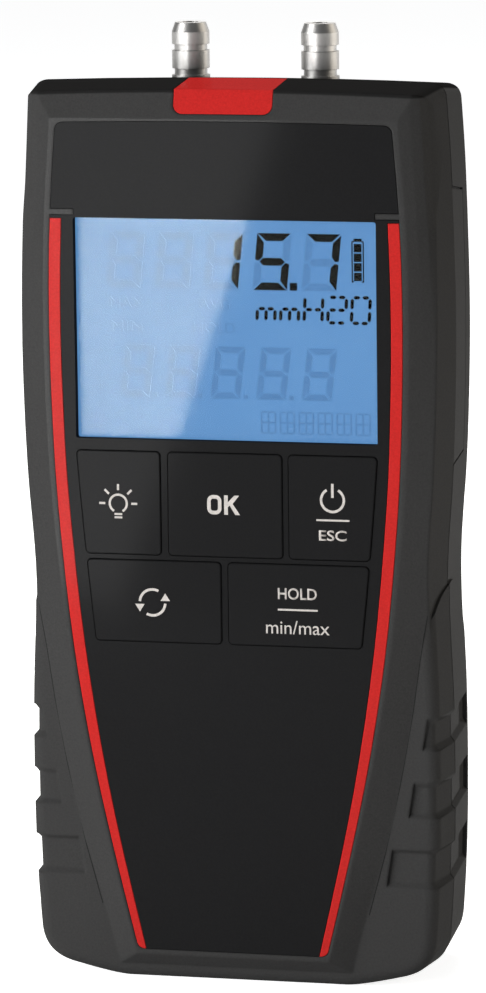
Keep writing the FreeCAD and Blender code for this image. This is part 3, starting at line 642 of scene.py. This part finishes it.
# Bulb with two lines for its cap, and rays
BULB, BULB_RADIUS, BULB_STROKE = (-18.2, 79.4), 1.45, 0.36
CAP_HALF, CAP_STROKE = 0.65, 0.32
bm = bmesh.new()
trace(bm, arc(BULB, BULB_RADIUS, -60, 240, 24), BULB_STROKE)
for z in (BULB[1] - 1.75, BULB[1] - 2.3):
    trace(bm, [(BULB[0] - CAP_HALF, z), (BULB[0] + CAP_HALF, z)], CAP_STROKE)
for inner, outer in zip(arc(BULB, 2.2, 0, 180, 4), arc(BULB, 3.2, 0, 180, 4)):
    trace(bm, [inner, outer], BULB_STROKE)
print_on_key("legend_bulb", bm, "light")

# Two chasing arrows, turning anticlockwise
CYCLE, CYCLE_RADIUS = (-12.65, 63.2), 2.15
HEAD_HALF, HEAD_FROM, HEAD_TIP = 0.8, 0.3, 1.55
bm = bmesh.new()
for start, side in ((-4, 1), (176, -1)):
    trace(bm, arc(CYCLE, CYCLE_RADIUS, start, start - 114), SIGN_STROKE)
    x, z = CYCLE[0] + side * CYCLE_RADIUS, CYCLE[1] + side * HEAD_FROM
    facet(bm, [(x - HEAD_HALF, z), (x + HEAD_HALF, z), (x, CYCLE[1] + side * HEAD_TIP)])
print_on_key("legend_cycle", bm, "cycle")

# Stage
FLOOR_HALF, FLOOR_GLOW = 3.0, 0.86
bm = bmesh.new()
bmesh.ops.create_grid(bm, x_segments=1, y_segments=1, size=FLOOR_HALF)
floor_mesh = bpy.data.meshes.new("floor")
bm.to_mesh(floor_mesh)
bm.free()
floor = bpy.data.objects.new("floor", floor_mesh)
bpy.context.scene.collection.objects.link(floor)
f = Finish("pale_floor")
seen = (f.ray("Camera") + f.ray("Glossy") + f.ray("Transmission")).clamp()
glow = f.add("ShaderNodeEmission", {}, {"Color": WHITE, "Strength": FLOOR_GLOW})
matt = f.add("ShaderNodeBsdfDiffuse", {}, {"Color": (0.8, 0.8, 0.8, 1)})
both = f.add("ShaderNodeAddShader", {}, {0: glow, 1: matt})
f.end(f.add("ShaderNodeMixShader", {}, {0: seen, 1: matt, 2: both}))
floor_mesh.materials.append(f.material)
floor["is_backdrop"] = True

# The world is white to the camera, dim as a light, and white in a mirror only
# where the backdrop would stand, behind the object
BACKDROP_RISE, BACKDROP_FROM, ROOM_LIGHT = 2.5, 1.0, 0.12
world = bpy.data.worlds.new("studio")
bpy.context.scene.world = world
f = Finish("studio", world)
toward = f.add("ShaderNodeSeparateXYZ", {},
               {0: f.add("ShaderNodeTexCoord", {}, {}, "Generated")}, "Y")
behind = (toward * BACKDROP_RISE - BACKDROP_FROM).clamp()
white = f.add("ShaderNodeBackground", {}, {"Color": WHITE, "Strength": 1.0})
dim = f.add("ShaderNodeBackground", {}, {"Color": (0.95, 0.97, 1.0, 1),
                                         "Strength": ROOM_LIGHT})
seen = (f.ray("Camera") + (f.ray("Glossy") + f.ray("Transmission")) * behind).clamp()
f.end(f.add("ShaderNodeMixShader", {}, {0: seen, 1: dim, 2: white}), "World")

TARGET = Vector((0, 0, 0.08))


def soft_light(name, place, width, height, power, colour=(1, 1, 1)):
    """Rectangular light in metres and watts that faces the object."""
    lamp = bpy.data.lights.new(name, "AREA")
    lamp.shape = "RECTANGLE"
    lamp.size, lamp.size_y = width, height
    lamp.energy = power
    lamp.color = colour
    made = bpy.data.objects.new(name, lamp)
    made.location = place
    made.visible_camera = False
    made.rotation_euler = (TARGET - Vector(place)).to_track_quat("-Z", "Y").to_euler()
    bpy.context.scene.collection.objects.link(made)
    return made


# Leaning bright card whose lower right corner is CARD_CORNER; it shows in the window
CARD_CORNER = Vector((-0.112, -0.35, 0.0))
CARD_WIDE, CARD_HIGH, CARD_GLOW = 0.07, 0.13, 20.0
CARD_LEAN = math.radians(18.7)
rise = Vector((math.sin(CARD_LEAN), 0, math.cos(CARD_LEAN)))
aside = Vector((-math.cos(CARD_LEAN), 0, math.sin(CARD_LEAN)))
card = soft_light("window_card", CARD_CORNER + rise * CARD_HIGH / 2 + aside * CARD_WIDE / 2,
                  CARD_WIDE, CARD_HIGH, CARD_GLOW * math.pi * CARD_WIDE * CARD_HIGH)
card.rotation_euler = (math.radians(90), CARD_LEAN, 0)
soft_light("left_soft_box", (-0.9, -0.75, 0.5), 0.7, 0.7, 12, (0.98, 0.99, 1.0))
soft_light("top_soft_box", (-0.2, 0.5, 1.0), 0.5, 0.5, 7, (1.0, 0.98, 0.96))
soft_light("warm_fill", (1.0, 0.3, 0.3), 0.9, 0.8, 4, (1.0, 0.92, 0.80))

size = {"cad": cad_box, "visual": [list(v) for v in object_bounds()]}
